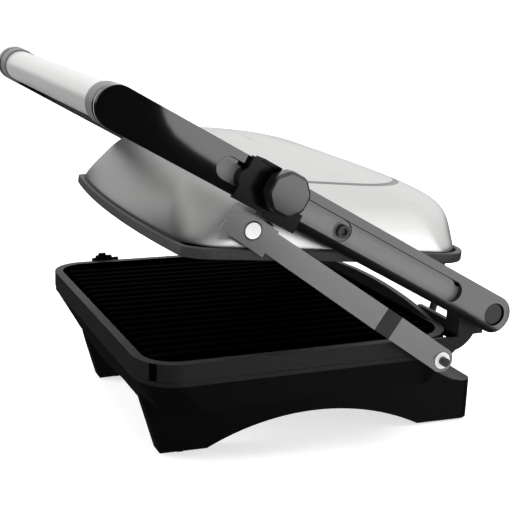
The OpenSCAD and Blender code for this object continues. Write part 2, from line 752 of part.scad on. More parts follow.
module upper_reflector() {
    pan_w = 2 * lid_bracket_x - 26;
    pan_d = lid_d - 50;
    z = upper_floor + 14;
    color("lightgray") in_lid() translate([0, lid_mid + 4, 0]) difference() {
        slab(pan_w, pan_d, 26, upper_floor + 0.3, z + 1);
        slab(pan_w - 2, pan_d - 2, 25, upper_floor - 1, z);
        for (sx = [-1, 1]) translate([sx * pan_w / 2 - 8, pan_d / 2 - 60, upper_floor])
            cube([16, 30, 9]);
    }
}
module upper_thermostat() {
    color("tan") in_lid() translate([0, lid_mid + 20, upper_floor + 0.3]) rotate([180, 0, 0])
        scale(0.85) disc_thermostat();
}

// Steel brackets inside the lid that take the pivot screws, and on the right the link's pin.
lid_bracket_x = shell_half - 16;
module lid_bracket(front) {
    top = 9;
    difference() {
        union() {
            side_plate(lid_bracket_x, lid_bracket_x + 3) polygon([[-front, upper_floor + 0.3],
                [-front, slot_up], [-front + 7, slot_up + 8], [-front + 28, top], [12, top],
                [16, upper_floor + 0.3]]);
            translate([lid_bracket_x - 10, -front, upper_floor + 0.3])
                cube([13, front + 16, 2.5]);
        }
        across(0, plate_w, pivot_r + 0.02);
        for (y = [-front + 8, 8]) translate([lid_bracket_x - 5, y, upper_floor - 1])
            cylinder(h = 5, r = 2);
    }
}
bracket_front = slot_front + 8.5;
module lid_bracket_right() {
    color("silver") in_lid() difference() {
        lid_bracket(bracket_front);
        pin_slot(lid_bracket_x - 12, lid_bracket_x + 4);
    }
}
module lid_bracket_left() {
    color("silver") in_lid() mirror([1, 0, 0]) lid_bracket(bracket_front);
}
module lid_bracket_screws() {
    color("silver") in_lid() both_sides() for (y = [-bracket_front + 8, 8])
        translate([lid_bracket_x - 5, y, upper_floor + 2.9]) {
            cylinder(h = 2, r = 3.2);
            translate([0, 0, -2.5]) cylinder(h = 3, r = 1.9);
        }
}
screw_head_r = 4.8;
module lid_pivot_screws() {
    seat = pivot_seat + gap;
    color("#303030") in_lid() both_sides() difference() {
        union() {
            across(lid_bracket_x - 3, seat + 1, pivot_r);
            across(seat, seat + 3.8, screw_head_r);
        }
        translate([seat + 1.6, 0, 0]) rotate([0, 90, 0]) cylinder(h = 4, r = 2.9, $fn = 6);
    }
}
module lid_pivot_bushes() {
    color("#0e0e0e") in_lid() both_sides() difference() {
        across(lid_bracket_x + 3, arm_in - gap, 6.5);
        across(0, plate_w, pivot_r + 0.02);
        difference() {
            across(lid_bracket_x + 2.9, shell_half + 0.5, 7);
            across(0, plate_w, pivot_r + 0.15);
        }
    }
}
upper_feed_z = -4;
lid_back = lid_front + lid_d - 9;
module upper_cable_gland() {
    color("#1a1a1a") in_lid() translate([feed_x, lid_back + 1.4, upper_feed_z]) gland(feed_r + 0.1);
}

// ---------------------------------------------------------------- feed cable to the lid

// Both ends run straight through their glands, and the free stretch between them is one curve.
gland_in = 8;
gland_out = 13;
feed_y0 = bowl_back(feed_z) + 1.6;
function lid_point(y, z) = [feed_x,
    lid_pivot[0] + y * cos(lid_rest) + z * sin(lid_rest),
    lid_pivot[1] - y * sin(lid_rest) + z * cos(lid_rest)];
feed_y1 = lid_back + 1.4;
feed_low = [feed_x, feed_y0 + gland_out, feed_z];
feed_high = lid_point(feed_y1 + gland_out, upper_feed_z);
function bezier(p, t) = pow(1 - t, 3) * p[0] + 3 * pow(1 - t, 2) * t * p[1]
    + 3 * (1 - t) * t * t * p[2] + t * t * t * p[3];
module feed_cable() {
    reach = feed_low + [0, 22, 0];
    lift = lid_point(feed_y1 + gland_out + 30, upper_feed_z);
    curve = [for (i = [0:24]) bezier([feed_low, reach, lift, feed_high], i / 24)];
    route = concat([[feed_x, feed_y0 - gland_in, feed_z]], curve,
        [lid_point(feed_y1 - gland_in, upper_feed_z)]);
    color("#101010") swept(route, feed_r, 10);
}

// ---------------------------------------------------------------- link

joggle = [52, 64];
bend_at = link_len - 17.3;
front_end = 21.5;
waist_w = 16.2;
// How much of the front end's width lies over the line between the pins.
front_over = link_front_w / 2 - 0.9;
module link_bar() {
    color("dimgray") in_link() difference() {
        union() {
            side_plate(link_out_in, link_out_in + link_t) {
                circle(link_w / 2 + 0.2);
                translate([-joggle[0], -link_w / 2]) square([joggle[0], link_w]);
            }
            translate([0, 0, -link_w / 2]) linear_extrude(link_w) polygon([
                [link_out_in, -joggle[0] + eps], [link_out_in + link_t, -joggle[0] + eps],
                [link_in + link_t, -joggle[1]], [link_in, -joggle[1]]]);
            side_plate(link_in, link_in + link_t) {
                polygon([[-joggle[1] + eps, -link_w / 2], [-joggle[1] + eps, link_w / 2],
                    [-bend_at - eps, waist_w / 2], [-bend_at - eps, -waist_w / 2]]);
                polygon([[-bend_at, front_over], [-link_len - front_end, front_over],
                    [-link_len - front_end, front_over - link_front_w], [-bend_at, front_over - link_front_w]]);
            }
        }
        across(0, plate_w, link_pin_r + running);
        translate([0, -link_len, 0]) across(0, plate_w, lid_pin_hole_r);
    }
}
lid_pin_hole_r = 6.9;
lid_pin_head_r = 5.9;
module link_lid_bush() {
    color("#0a0a0a") in_link() translate([0, -link_len, 0]) difference() {
        union() {
            across(link_in - 1.2, link_in - 0.05, lid_pin_hole_r + 1.6);
            across(link_in - 0.1, link_in + link_t - 0.6, lid_pin_hole_r - 0.02);
        }
        across(0, plate_w, lid_pin_head_r + 0.02);
    }
}
module link_lid_pin() {
    color("white") in_link() translate([0, -link_len, 0]) {
        across(lid_bracket_x - 3, link_in, lid_pin_r);
        across(link_in - 1.2, link_in + link_t + 0.6, lid_pin_head_r);
    }
}
lid_pin_r = link_pin_r + 0.6;

// ---------------------------------------------------------------- height lock

slider_cap = 4.2;
knob_at = lock_at - 8.4;
knob_up = 3.6;
knob_flange = 3;
knob_seat = arm_out + gap + slider_cap + 0.3;
module lock_slider() {
    front = -lock_at - lock_len / 2;
    face = arm_out + gap;
    edge = arm_r + gap;
    color("#0b0b0b") in_arm() difference() {
        union() {
            side_plate(face, face + slider_cap) translate([front + 3, -edge - 1])
                square([lock_len - 6, 2 * edge + 1.5]);
            side_plate(face, face + slider_cap) translate([front + slot_r, 0]) circle(slot_r);
            side_plate(arm_out - slot_depth + gap, face + 1) {
                translate([front + slot_r, 0]) circle(slot_r - gap);
                translate([front + slot_r, -slot_r + gap])
                    square([lock_len - slot_r - 4, 2 * (slot_r - gap)]);
            }
            // Hooked tab over the arm's upper edge, then the stop under its lower edge.
            translate([arm_in + 2, -lock_at - 14, edge]) cube([arm_t + slider_cap, 15, 2.3]);
            translate([face, -lock_at - 14, 0]) cube([slider_cap, 15, edge + 2.3]);
            translate([arm_in + 1, -lock_at + 6, -edge - 3.2])
                cube([face + slider_cap - arm_in - 1, 26, 3.2]);
            translate([face, -lock_at + 6, -edge - 3.2]) cube([slider_cap, 26, 14]);
        }
        translate([0, -knob_at, knob_up]) across(arm_out - slot_depth, plate_w, 2.6);
    }
}
module lock_knob() {
    color("#141414") in_arm() translate([0, -knob_at, knob_up]) difference() {
        union() {
            across(knob_seat, knob_seat + knob_flange, 11);
            translate([knob_seat + knob_flange - 0.5, 0, 0]) rotate([0, 90, 0])
                rotate(22.5) cylinder(h = knob_t, r = knob_r, $fn = 8);
        }
        across(knob_seat - 1, knob_seat + knob_t - 2, 2.5 + running);
    }
}
module lock_screw() {
    color("silver") in_arm() translate([0, -knob_at, knob_up])
        across(arm_out - slot_depth + gap + 0.4, knob_seat + knob_t - 3, 2.5);
}

pedestal();
rubber_feet();
pedestal_screws();
lower_housing();
lower_trim_ring();
lower_plate();
lower_element();
lower_reflector();
lower_thermostat();
thermal_cutout();
terminal_block();
cord_gland();
hinge_bracket_right();
hinge_bracket_left();
bracket_screws();
hinge_axles();
hinge_bushes();
link_base_pin();
link_spacer();
retaining_clip();
latch_guide();
latch_spring();
release_latch();
lower_cable_gland();
feed_cable();
arm_right();
arm_left();
handle_tube();
handle_collars();
handle_rod();
handle_nuts();
lid_shell();
lid_trim();
upper_plate();
upper_element();
upper_reflector();
upper_thermostat();
lid_bracket_right();
lid_bracket_left();
lid_bracket_screws();
lid_pivot_screws();
lid_pivot_bushes();
upper_cable_gland();
link_bar();
link_lid_pin();
link_lid_bush();
lock_slider();
lock_knob();
lock_screw();
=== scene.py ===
"""The looks of a panini press: two hinged cast plates, a lever handle, a levelling link and a height lock.

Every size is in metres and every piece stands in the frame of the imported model, with +Z up, the handle
towards -Y and the link and height lock on the +X side.
"""

import json
import logging
import math
from dataclasses import dataclass, field
from enum import Enum
from typing import Any, Iterable, Union

import bmesh
import bpy
from mathutils import Matrix, Vector

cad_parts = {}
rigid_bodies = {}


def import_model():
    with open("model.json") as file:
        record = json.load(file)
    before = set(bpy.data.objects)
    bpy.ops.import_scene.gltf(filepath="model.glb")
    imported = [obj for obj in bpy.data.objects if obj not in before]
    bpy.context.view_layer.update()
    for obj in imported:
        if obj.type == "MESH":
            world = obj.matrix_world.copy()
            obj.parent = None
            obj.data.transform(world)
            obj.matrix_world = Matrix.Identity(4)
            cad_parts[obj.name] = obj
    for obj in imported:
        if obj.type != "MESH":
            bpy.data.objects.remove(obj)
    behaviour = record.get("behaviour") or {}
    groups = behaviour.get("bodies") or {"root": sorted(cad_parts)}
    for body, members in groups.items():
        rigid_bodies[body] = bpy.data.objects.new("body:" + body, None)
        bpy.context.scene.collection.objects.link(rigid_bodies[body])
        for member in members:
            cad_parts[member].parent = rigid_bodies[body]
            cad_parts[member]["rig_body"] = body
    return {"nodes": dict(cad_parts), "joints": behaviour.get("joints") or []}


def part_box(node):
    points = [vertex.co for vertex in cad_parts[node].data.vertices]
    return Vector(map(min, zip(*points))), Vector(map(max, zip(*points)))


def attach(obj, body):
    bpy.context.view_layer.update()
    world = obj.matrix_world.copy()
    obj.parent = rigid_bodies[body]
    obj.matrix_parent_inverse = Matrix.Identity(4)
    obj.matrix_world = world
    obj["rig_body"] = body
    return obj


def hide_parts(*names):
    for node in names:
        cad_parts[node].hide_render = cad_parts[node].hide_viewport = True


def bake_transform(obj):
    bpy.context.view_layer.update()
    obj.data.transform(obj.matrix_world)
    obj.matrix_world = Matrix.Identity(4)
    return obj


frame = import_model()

log = logging.getLogger("panini_press")

Point = tuple[float, float, float]
Value = Union["Signal", bpy.types.NodeSocket, float, tuple]


# ---------------------------------------------------------------- shader graph


class Signal:
    """A number that varies over a surface; Python operators on it add Math nodes."""

    def __init__(self, graph: "Graph", socket: bpy.types.NodeSocket) -> None:
        """Keeps the graph the number lives in and the socket that carries it."""
        self.graph = graph
        self.socket = socket

    def _math(self, operation: str, first: Value, second: Value) -> "Signal":
        """Adds one Math node.

        Args:
            operation: the node's operation.
            first: its first input.
            second: its second input.

        Returns:
            The node's result.
        """
        made = self.graph.node("ShaderNodeMath", {"operation": operation}, {0: first, 1: second})
        return Signal(self.graph, made.outputs[0])

    def __add__(self, other: Value) -> "Signal":
        """Returns self + other."""
        return self._math("ADD", self, other)

    def __radd__(self, other: Value) -> "Signal":
        """Returns other + self."""
        return self._math("ADD", other, self)

    def __sub__(self, other: Value) -> "Signal":
        """Returns self - other."""
        return self._math("SUBTRACT", self, other)

    def __rsub__(self, other: Value) -> "Signal":
        """Returns other - self."""
        return self._math("SUBTRACT", other, self)

    def __mul__(self, other: Value) -> "Signal":
        """Returns self * other."""
        return self._math("MULTIPLY", self, other)

    def __rmul__(self, other: Value) -> "Signal":
        """Returns other * self."""
        return self._math("MULTIPLY", other, self)

    def __truediv__(self, other: Value) -> "Signal":
        """Returns self / other."""
        return self._math("DIVIDE", self, other)

    def __gt__(self, other: Value) -> "Signal":
        """Returns 1 where self is greater than other, and 0 elsewhere."""
        return self._math("GREATER_THAN", self, other)

    def __lt__(self, other: Value) -> "Signal":
        """Returns 1 where self is less than other, and 0 elsewhere."""
        return self._math("LESS_THAN", self, other)

    def __abs__(self) -> "Signal":
        """Returns the size of self without its sign."""
        return self._math("ABSOLUTE", self, 0.0)


class Graph:
    """One material's or world's node tree."""

    def __init__(self, tree: bpy.types.NodeTree) -> None:
        """Empties the tree and keeps it."""
        self.tree = tree
        tree.nodes.clear()

    def node(self, kind: str, settings: dict[str, Any], inputs: dict[Any, Value]) -> bpy.types.Node:
        """Adds a node.

        Args:
            kind: the node's type.
            settings: its properties, and "stops" for a colour ramp's stops.
            inputs: values or links for its sockets, by name or number.

        Returns:
            The node.
        """
        made = self.tree.nodes.new(kind)
        for key, value in settings.items():
            if key == "stops":
                self._set_stops(made.color_ramp, value)
            else:
                setattr(made, key, value)
        for key, value in inputs.items():
            if isinstance(value, Signal):
                value = value.socket
            if isinstance(value, bpy.types.NodeSocket):
                self.tree.links.new(value, made.inputs[key])
            else:
                made.inputs[key].default_value = value
        return made

    @staticmethod
    def _set_stops(ramp: bpy.types.ColorRamp, stops: list[tuple[float, float]]) -> None:
        """Sets a grey ramp's stops, each a position and a level."""
        while len(ramp.elements) < len(stops):
            ramp.elements.new(0.5)
        for element, (position, level) in zip(ramp.elements, stops):
            element.position = position
            element.color = (level, level, level, 1.0)

    def place(self, scale: Point = (1.0, 1.0, 1.0), turn: Point = (0.0, 0.0, 0.0)) -> bpy.types.NodeSocket:
        """Gives object coordinates, turned and stretched.

        Args:
            scale: the stretch along each axis.
            turn: the rotation about each axis, in radians.

        Returns:
            The vector socket.
        """
        here = self.node("ShaderNodeTexCoord", {}, {}).outputs["Object"]
        mapped = self.node("ShaderNodeMapping", {}, {"Vector": here, "Scale": scale, "Rotation": turn})
        return mapped.outputs["Vector"]

    def noise(self, at: bpy.types.NodeSocket, scale: float, detail: float = 3.0) -> Signal:
        """Gives smooth noise from 0 to 1 at a place.

        Args:
            at: the vector socket to read.
            scale: how many lumps there are to a metre.
            detail: how many finer layers are added.

        Returns:
            The noise.
        """
        made = self.node("ShaderNodeTexNoise", {}, {"Vector": at, "Scale": scale, "Detail": detail})
        return Signal(self, made.outputs[0])

    def ramp(self, value: Value, stops: list[tuple[float, float]]) -> Signal:
        """Passes a value through a grey ramp with the given stops."""
        made = self.node("ShaderNodeValToRGB", {"stops": stops}, {"Fac": value})
        return Signal(self, made.outputs["Color"])

    def blend(self, factor: Value, low: Point, high: Point) -> bpy.types.NodeSocket:
        """Mixes two colours.

        Args:
            factor: 0 for the first colour, 1 for the second.
            low: the first colour.
            high: the second colour.

        Returns:
            The colour socket.
        """
        made = self.node("ShaderNodeMix", {"data_type": "RGBA"},
                         {0: factor, 6: (*low, 1.0), 7: (*high, 1.0)})
        return made.outputs[2]

    def bump(self, height: Value, distance: float, strength: float = 1.0) -> bpy.types.NodeSocket:
        """Turns a height into a normal.

        Args:
            height: the height, from 0 to 1.
            distance: how high 1 is, in metres.
            strength: how much of it shows.

        Returns:
            The normal socket.
        """
        made = self.node("ShaderNodeBump", {}, {"Height": height, "Distance": distance, "Strength": strength})
        return made.outputs["Normal"]


# ---------------------------------------------------------------- finishes


class Texture(Enum):
    """The fine relief of a surface."""

    SMOOTH = "smooth"
    CAST = "cast"
    MOULDED = "moulded"
    BRUSHED_DEPTH = "brushed along the depth"
    BRUSHED_WIDTH = "brushed along the width"


@dataclass(frozen=True)
class Finish:
    """A surface finish: its colour, its gloss and its fine relief."""

    name: str
    slot: str
    colour: Point
    roughness: float
    metallic: float = 0.0
    specular: float = 0.5
    coat: float = 0.0
    texture: Texture = Texture.SMOOTH
    relief: float = 0.0
    spread: float = 0.12

    def material(self) -> bpy.types.Material:
        """Returns the material, made once."""
        found = bpy.data.materials.get(self.name)
        if found is not None:
            return found
        made = bpy.data.materials.new(self.name)
        made.use_nodes = True
        graph = Graph(made.node_tree)
        shader = graph.node("ShaderNodeBsdfPrincipled", {}, {
            "Metallic": self.metallic, "Specular IOR Level": self.specular,
            "Coat Weight": self.coat, "Coat Roughness": 0.06})
        self.dress(graph, shader)
        graph.node("ShaderNodeOutputMaterial", {}, {"Surface": shader.outputs[0]})
        return made

    def dress(self, graph: Graph, shader: bpy.types.Node) -> None:
        """Links the colour, roughness and relief of the finish.

        Args:
            graph: the material's graph.
            shader: its Principled shader.
        """
        height, tone = self._relief(graph)
        smudge = graph.noise(graph.place(), 14.0, 2.0)
        rough = self.roughness * (1.0 - self.spread) + self.roughness * self.spread * (smudge + tone)
        dark = tuple(c * (1.0 - self.spread) for c in self.colour)
        light = tuple(min(1.0, c * (1.0 + self.spread)) for c in self.colour)
        colour = graph.blend(tone * 0.7 + smudge * 0.3, dark, light)
        graph.tree.links.new(rough.socket, shader.inputs["Roughness"])
        graph.tree.links.new(colour, shader.inputs["Base Color"])
        if self.relief > 0.0:
            graph.tree.links.new(graph.bump(height, self.relief), shader.inputs["Normal"])

    def _relief(self, graph: Graph) -> tuple[Signal, Signal]:
        """Returns the height and the tone of the fine relief, each from 0 to 1."""
        if self.texture is Texture.CAST:
            grain = graph.noise(graph.place(), 1100.0, 2.0)
            pits = graph.noise(graph.place(), 420.0, 3.0)
            return grain * 0.6 + pits * 0.4, pits
        if self.texture is Texture.MOULDED:
            grain = graph.noise(graph.place(), 1500.0, 1.0)
            return grain, graph.noise(graph.place(), 60.0, 2.0)
        if self.texture in (Texture.BRUSHED_DEPTH, Texture.BRUSHED_WIDTH):
            along = (1.0, 0.02, 1.0) if self.texture is Texture.BRUSHED_DEPTH else (0.02, 1.0, 1.0)
            fine = graph.noise(graph.place(along), 2200.0, 2.0)
            broad = graph.noise(graph.place(along), 260.0, 3.0)
            return fine, fine * 0.5 + broad * 0.5
        soft = graph.noise(graph.place(), 180.0, 1.0)
        return soft, soft


@dataclass(frozen=True)
class ArmPaint(Finish):
    """Gloss black paint with a satin grey floor in the arm's long recess."""

    floor_colour: Point = (0.17, 0.17, 0.17)
    floor_from: float = 0.1548
    floor_to: float = 0.1566
    floor_up: float = 0.0052

    def dress(self, graph: Graph, shader: bpy.types.Node) -> None:
        """Links the paint's colour and gloss and the recess floor's satin.

        Args:
            graph: the material's graph.
            shader: its Principled shader.
        """
        at = graph.node("ShaderNodeSeparateXYZ", {}, {"Vector": graph.place()})
        across = abs(Signal(graph, at.outputs["X"]))
        tilt = math.atan2(joint("slider_slide")["axis"][2], -joint("slider_slide")["axis"][1])
        _, hinge_y, hinge_z = joint("arm_hinge")["pos_m"]
        over = (Signal(graph, at.outputs["Y"]) - hinge_y) * math.sin(tilt) + (
            Signal(graph, at.outputs["Z"]) - hinge_z) * math.cos(tilt)
        floor = (across > self.floor_from) * (across < self.floor_to) * (over < self.floor_up)
        peel = graph.noise(graph.place(), 190.0, 1.0)
        smudge = graph.noise(graph.place(), 12.0, 2.0)
        rough = self.roughness + smudge * 0.03 + floor * 0.38
        colour = graph.blend(floor, self.colour, self.floor_colour)
        graph.tree.links.new(rough.socket, shader.inputs["Roughness"])
        graph.tree.links.new(colour, shader.inputs["Base Color"])
        graph.tree.links.new(graph.bump(peel, self.relief), shader.inputs["Normal"])


CAST_GREY = Finish("cast_grey_coating", "cast_grey", (0.008, 0.008, 0.0082), 0.42, 0.0, 0.32, 0.0,
                   Texture.CAST, 0.0006, 0.4)
TRIM_GREY = Finish("lid_trim_coating", "cast_grey", (0.03, 0.03, 0.0305), 0.42, 0.0, 0.4, 0.0,
                   Texture.CAST, 0.0006, 0.4)
PLATE_BLACK = Finish("grill_nonstick", "plate_black", (0.0006, 0.0006, 0.0006), 0.65, 0.0, 0.003, 0.0,
                     Texture.CAST, 0.00008, 0.2)
MOULDED_BLACK = Finish("pedestal_moulding", "moulded_black", (0.0022, 0.0022, 0.0023), 0.36, 0.0, 0.1, 0.0,
                       Texture.MOULDED, 0.00004)
GLOSS_BLACK = ArmPaint("arm_gloss_black", "gloss_black", (0.0012, 0.0012, 0.0012), 0.03, 0.0, 1.0, 0.0,
                       Texture.SMOOTH, 0.000002)
KNOB_BLACK = Finish("knob_gloss_black", "black_phenolic", (0.006, 0.006, 0.006), 0.14, 0.0, 1.0, 0.0,
                    Texture.SMOOTH, 0.000005)
PHENOLIC = Finish("hard_black_moulding", "black_phenolic", (0.0015, 0.0015, 0.0015), 0.22, 0.0, 0.2, 0.0,
                  Texture.MOULDED, 0.00003)
LID_STEEL = Finish("lid_brushed_steel", "brushed_steel", (0.74, 0.74, 0.73), 0.36, 1.0, 0.5, 0.0,
                   Texture.BRUSHED_DEPTH, 0.00001, 0.1)
HANDLE_STEEL = Finish("handle_satin_steel", "handle_steel", (0.82, 0.82, 0.81), 0.28, 0.75, 0.5, 0.0,
                      Texture.BRUSHED_WIDTH, 0.00001, 0.08)
COLLAR_GREY = Finish("collar_satin_grey", "collar_grey", (0.17, 0.17, 0.17), 0.35, 0.5, 0.5, 0.0,
                     Texture.SMOOTH, 0.00001)
LINK_STEEL = Finish("link_satin_steel", "link_steel", (0.3, 0.3, 0.3), 0.22, 0.8, 0.5, 0.0,
                    Texture.BRUSHED_DEPTH, 0.00001, 0.08)
BRIGHT_CLIP = Finish("bright_clip", "zinc_steel", (0.9, 0.9, 0.88), 0.35, 0.2, 0.5, 0.0, Texture.SMOOTH, 0.000005)
# A darker copy of the lid steel for the crease ring: painted shade standing in for the soft dark line along the
# crease.
LID_CREASE_SHADE = Finish("lid_crease_painted_shade", "brushed_steel", (0.32, 0.32, 0.32), 0.4, 1.0, 0.5, 0.0,
                  Texture.SMOOTH, 0.00001)
ZINC = Finish("zinc_plate", "zinc_steel", (0.62, 0.62, 0.6), 0.3, 1.0, 0.5, 0.0, Texture.SMOOTH, 0.00001)
# Blackened steel for the axles, pins and pivot screws; on the link's joggle faces the same dark colour is painted
# shade.
DARK_STEEL_AND_BEND_SHADE = Finish("blackened_steel_and_painted_shade", "dark_steel", (0.03, 0.03, 0.03), 0.3, 0.4, 0.5, 0.0,
                    Texture.SMOOTH, 0.00001)
NYLON = Finish("pin_nylon", "white_nylon", (0.9, 0.9, 0.89), 0.4, 0.0, 0.5, 0.0, Texture.SMOOTH, 0.00001, 0.02)
SHEET = Finish("bright_sheet", "reflector_sheet", (0.6, 0.6, 0.6), 0.35, 1.0, 0.5, 0.0, Texture.SMOOTH, 0.00002)
SHEATH = Finish("heater_sheath", "element_sheath", (0.2, 0.19, 0.18), 0.45, 0.8, 0.5, 0.0,
                Texture.CAST, 0.00003)
CONTROL = Finish("plated_control", "control_metal", (0.55, 0.48, 0.36), 0.38, 0.8, 0.5, 0.0,
                 Texture.SMOOTH, 0.00001)
RUBBER = Finish("black_rubber", "rubber", (0.016, 0.016, 0.016), 0.55, 0.0, 0.35, 0.0, Texture.MOULDED, 0.00005)
IVORY = Finish("ivory_moulding", "terminal_polymer", (0.72, 0.68, 0.56), 0.45, 0.0, 0.5, 0.0,
               Texture.MOULDED, 0.00003)


# ---------------------------------------------------------------- making pieces


@dataclass(frozen=True)
class Piece:
    """What is written beside a finished mesh: the body it rides on and the nodes it stands for."""

    name: str
    body: str
    finish: Finish
    nodes: tuple[str, ...] = ()

    def publish(self, bm: bmesh.types.BMesh, smooth_to: float = 35.0) -> bpy.types.Object:
        """Makes the object from a bmesh, dresses it and ties it to its body.

        Args:
            bm: the finished mesh, which is freed.
            smooth_to: edges sharper than this many degrees stay hard.

        Returns:
            The object.
        """
        mesh = bpy.data.meshes.new(self.name)
        bm.to_mesh(mesh)
        bm.free()
        made = bpy.data.objects.new(self.name, mesh)
        bpy.context.scene.collection.objects.link(made)
        for polygon in mesh.polygons:
            polygon.use_smooth = True
        mesh.set_sharp_from_angle(angle=math.radians(smooth_to))
        return self.tie(made)

    def tie(self, made: bpy.types.Object) -> bpy.types.Object:
        """Dresses an object, ties it to its body and logs it."""
        made.data.materials.clear()
        made.data.materials.append(self.finish.material())
        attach(made, self.body)
        if self.nodes:
            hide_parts(*self.nodes)
        log.info("%s: %d faces, rides on %s", self.name, len(made.data.polygons), self.body)
        return made


def edged(node: str, body: str, finish: Finish, radius: float, rounds: int = 2,
          sharper_than: float = 32.0) -> bpy.types.Object:
    """Makes a copy of a node with its edges rounded, which stands for the node.

    Args:
        node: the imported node.
        body: the body it rides on.
        finish: its finish.
        radius: how far the rounding reaches from each edge.
        rounds: how many faces make up the rounding.
        sharper_than: only edges sharper than this many degrees are rounded.

    Returns:
        The new piece.
    """
    bm = bmesh.new()
    bm.from_mesh(frame["nodes"][node].data)
    bmesh.ops.remove_doubles(bm, verts=bm.verts, dist=0.000005)
    bmesh.ops.dissolve_limit(bm, angle_limit=math.radians(0.6), verts=bm.verts, edges=bm.edges,
                             use_dissolve_boundaries=False, delimit=set())
    limit = math.radians(sharper_than)
    corners = [e for e in bm.edges if e.is_manifold and e.calc_face_angle(0.0) > limit]
    bmesh.ops.bevel(bm, geom=corners, offset=radius, offset_type="OFFSET", affect="EDGES",
                    segments=rounds, profile=0.5, clamp_overlap=True, material=-1)
    bmesh.ops.remove_doubles(bm, verts=bm.verts, dist=0.000002)
    made = Piece(node + "_edged", body, finish, (node,)).publish(bm, 40.0)
    weight = made.modifiers.new("even_shading", "WEIGHTED_NORMAL")
    weight.keep_sharp = True
    return made


def dress_node(node: str, finish: Finish) -> None:
    """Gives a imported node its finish."""
    made = frame["nodes"][node]
    if not made.material_slots:
        made.data.materials.append(finish.material())
    for held in made.material_slots:
        held.material = finish.material()
    log.info("%s: dressed as %s", node, finish.name)


@dataclass(frozen=True)
class Outline:
    """A rounded rectangle in plan with its own front and back corners and a bowed front."""

    half: float
    front: float
    back: float
    front_corner: float
    back_corner: float
    bow: float = 0.0
    on_edge: int = 10
    on_corner: int = 12

    def points(self) -> list[tuple[float, float]]:
        """Returns the outline's points, anticlockwise from the front left."""
        turns = [
            (self.half - self.front_corner, self.front + self.front_corner, self.front_corner, -90),
            (self.half - self.back_corner, self.back - self.back_corner, self.back_corner, 0),
            (self.back_corner - self.half, self.back - self.back_corner, self.back_corner, 90),
            (self.front_corner - self.half, self.front + self.front_corner, self.front_corner, 180)]
        found: list[tuple[float, float]] = []
        for x, y, r, start in turns:
            for i in range(self.on_corner + 1):
                a = math.radians(start + 90.0 * i / self.on_corner)
                found.append((x + r * math.cos(a), y + r * math.sin(a)))
        spread: list[tuple[float, float]] = []
        for i, (x, y) in enumerate(found):
            spread.append((x, y))
            if (i + 1) % (self.on_corner + 1) == 0:
                nx, ny = found[(i + 1) % len(found)]
                for k in range(1, self.on_edge):
                    t = k / self.on_edge
                    spread.append((x + (nx - x) * t, y + (ny - y) * t))
        if not self.bow:
            return spread
        depth = self.back - self.front
        return [(x, y + (1.0 - (y - self.front) / depth) * x * x / (2.0 * self.bow)) for x, y in spread]

    def between(self, other: "Outline", t: float) -> "Outline":
        """Returns the outline a fraction t of the way to another."""
        mix = lambda a, b: a + (b - a) * t
        return Outline(mix(self.half, other.half), mix(self.front, other.front), mix(self.back, other.back),
                       mix(self.front_corner, other.front_corner), mix(self.back_corner, other.back_corner),
                       mix(self.bow, other.bow) if self.bow and other.bow else self.bow or other.bow)


def ring(bm: bmesh.types.BMesh, places: Iterable[Vector]) -> list[bmesh.types.BMEdge]:
    """Adds a closed ring of edges through the given places.

    Args:
        bm: the mesh to add to.
        places: where the ring's corners go.

    Returns:
        The ring's edges.
    """
    places = list(places)
    made = bmesh.ops.create_circle(bm, cap_ends=False, segments=len(places), radius=1.0)["verts"]
    for corner, place in zip(made, places):
        corner.co = place
    return list({e for v in made for e in v.link_edges})


def loft(bm: bmesh.types.BMesh, rings: list[list[Vector]], capped: tuple[bool, bool] = (True, True)) -> None:
    """Bridges rings in turn, and closes the first and last of them.

    Args:
        bm: the mesh to add to.
        rings: the places of each ring's corners, in the same order and number.
        capped: whether the first and the last ring is closed.
    """
    loops = [ring(bm, places) for places in rings]
    for low, high in zip(loops, loops[1:]):
        bmesh.ops.bridge_loops(bm, edges=low + high)
    for loop, closed in zip((loops[0], loops[-1]), capped):
        if closed:
            bmesh.ops.contextual_create(bm, geom=loop)
    bmesh.ops.recalc_face_normals(bm, faces=bm.faces)


def applied(made: bpy.types.Object) -> None:
    """Applies a piece's modifiers to its mesh."""
    seen = made.evaluated_get(bpy.context.evaluated_depsgraph_get())
    mesh = bpy.data.meshes.new_from_object(seen)
    made.modifiers.clear()
    made.data = mesh


# ---------------------------------------------------------------- sub-assemblies


def joint(name: str) -> dict:
    """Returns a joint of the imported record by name."""
    return next(j for j in frame["joints"] if j["name"] == name)


@dataclass
class Base:
    """The pedestal, the housing bowl and what stands in it."""

    pedestal_edge: float = 0.0022
    housing_edge: float = 0.0012
    foot_edge: float = 0.0006
    nodes: dict[str, Finish] = field(default_factory=lambda: {
        "pedestal_screws": ZINC, "lower_reflector": SHEET, "lower_element": SHEATH,
        "lower_thermostat": CONTROL, "thermal_cutout": CONTROL, "terminal_block": IVORY})

    def build(self) -> None:
        """Makes the pieces with rounded edges."""
        edged("pedestal", "base", MOULDED_BLACK, self.pedestal_edge, 3)
        edged("lower_housing", "base", MOULDED_BLACK, self.housing_edge, 2)
        edged("rubber_feet", "base", RUBBER, self.foot_edge)
        edged("cord_gland", "base", PHENOLIC, self.foot_edge)
        edged("lower_cable_gland", "base", PHENOLIC, self.foot_edge)

    def dress(self) -> None:
        """Dresses the inner nodes."""
        for node, finish in self.nodes.items():
            dress_node(node, finish)


